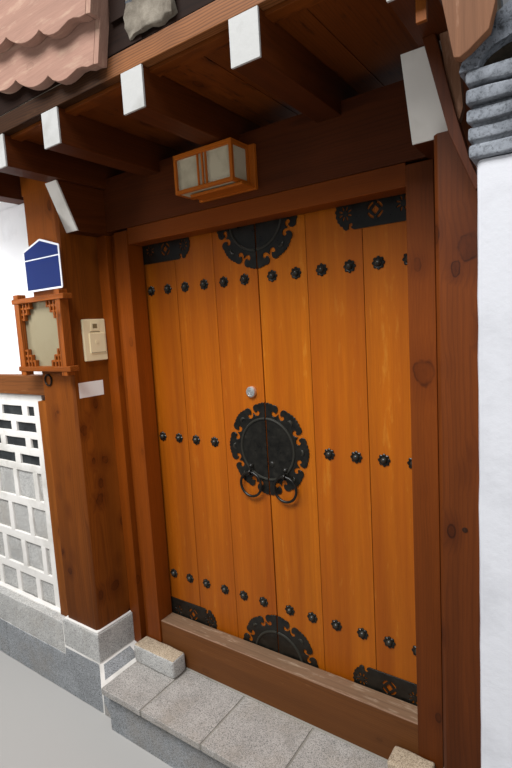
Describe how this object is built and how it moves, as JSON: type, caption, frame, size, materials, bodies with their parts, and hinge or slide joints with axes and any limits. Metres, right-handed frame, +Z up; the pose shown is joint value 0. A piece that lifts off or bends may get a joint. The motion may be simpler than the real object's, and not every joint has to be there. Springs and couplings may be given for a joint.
{
  "type": "hanok street entrance",
  "caption": "Two-leaf plank gate between square posts under a tiled, white-ended rafter eave, with a stone step, a patterned wall bay on one side and a coped plaster wall end on the other.",
  "frame": {"origin": "middle of the base, on the ground", "axes": "X along the gate, Y into the house, Z up"},
  "size_m": [3.8444, 0.9258, 3.1078],
  "materials": {
    "stained_pine": "stained satin",
    "honey_pine": "oiled satin",
    "weathered_pine": "bare weathered",
    "black_iron": "blackened forged",
    "light_granite": "bush-hammered",
    "dark_granite": "bush-hammered",
    "lime_plaster": "trowelled matte",
    "clay": "rough dried",
    "roof_tile": "fired matte",
    "steel": "satin",
    "beige_plastic": "moulded matte",
    "blue_enamel": "painted satin"
  },
  "bodies": {
    "frame": {"left_post": "stained_pine", "end_post": "stained_pine", "right_post": "stained_pine", "left_jamb": "stained_pine", "right_jamb": "stained_pine", "header_beam": "stained_pine", "lintel": "stained_pine", "threshold": "stained_pine", "left_crossbeam": "stained_pine", "right_crossbeam": "stained_pine", "rafters": "stained_pine", "front_eave_board": "stained_pine", "back_eave_board": "stained_pine", "left_wall_trim": "stained_pine", "right_wall_trim": "stained_pine", "wall_rail": "stained_pine", "right_brace_board": "stained_pine", "lamp_box": "honey_pine", "sign_box": "honey_pine", "lower_verge_board": "weathered_pine", "upper_verge_board": "weathered_pine", "verge_end_trim": "weathered_pine", "right_verge_board": "weathered_pine", "left_post_base": "light_granite", "end_post_base": "light_granite", "right_post_base": "light_granite", "plinth_course": "light_granite", "step_slabs": "light_granite", "left_corner_stone": "light_granite", "right_corner_stone": "light_granite", "lower_course": "dark_granite", "sill_stone": "dark_granite", "step_riser": "dark_granite", "patterned_wall": "lime_plaster", "plaster_wall": "lime_plaster", "right_wall": "lime_plaster", "gate_roof_clay": "clay", "wing_roof_clay": "clay", "gate_roof_tiles": "roof_tile", "wing_roof_tiles": "roof_tile", "wall_coping": "roof_tile", "door_phone": "beige_plastic", "address_plate": "blue_enamel"},
    "left_leaf": {"left_leaf": "honey_pine", "left_roundel": "black_iron", "lock_cylinder": "steel"},
    "right_leaf": {"right_leaf": "honey_pine", "right_roundel": "black_iron"},
    "left_knocker": {"left_knocker_ring": "black_iron"},
    "right_knocker": {"right_knocker_ring": "black_iron"}
  },
  "joints": [
    {"name": "left_leaf_hinge", "type": "hinge", "parent": "frame", "child": "left_leaf", "pos_m": [-0.029, 0.1625, 1.25], "axis": [0, 0, 1], "range_deg": [0, 95]},
    {"name": "right_leaf_hinge", "type": "hinge", "parent": "frame", "child": "right_leaf", "pos_m": [1.193, 0.1625, 1.25], "axis": [0, 0, -1], "range_deg": [0, 95]},
    {"name": "left_knocker_hinge", "type": "hinge", "parent": "left_leaf", "child": "left_knocker", "pos_m": [0.502, 0.124, 1.153], "axis": [-1, 0, 0], "range_deg": [0, 90]},
    {"name": "right_knocker_hinge", "type": "hinge", "parent": "right_leaf", "child": "right_knocker", "pos_m": [0.662, 0.124, 1.153], "axis": [-1, 0, 0], "range_deg": [0, 90]}
  ]
}
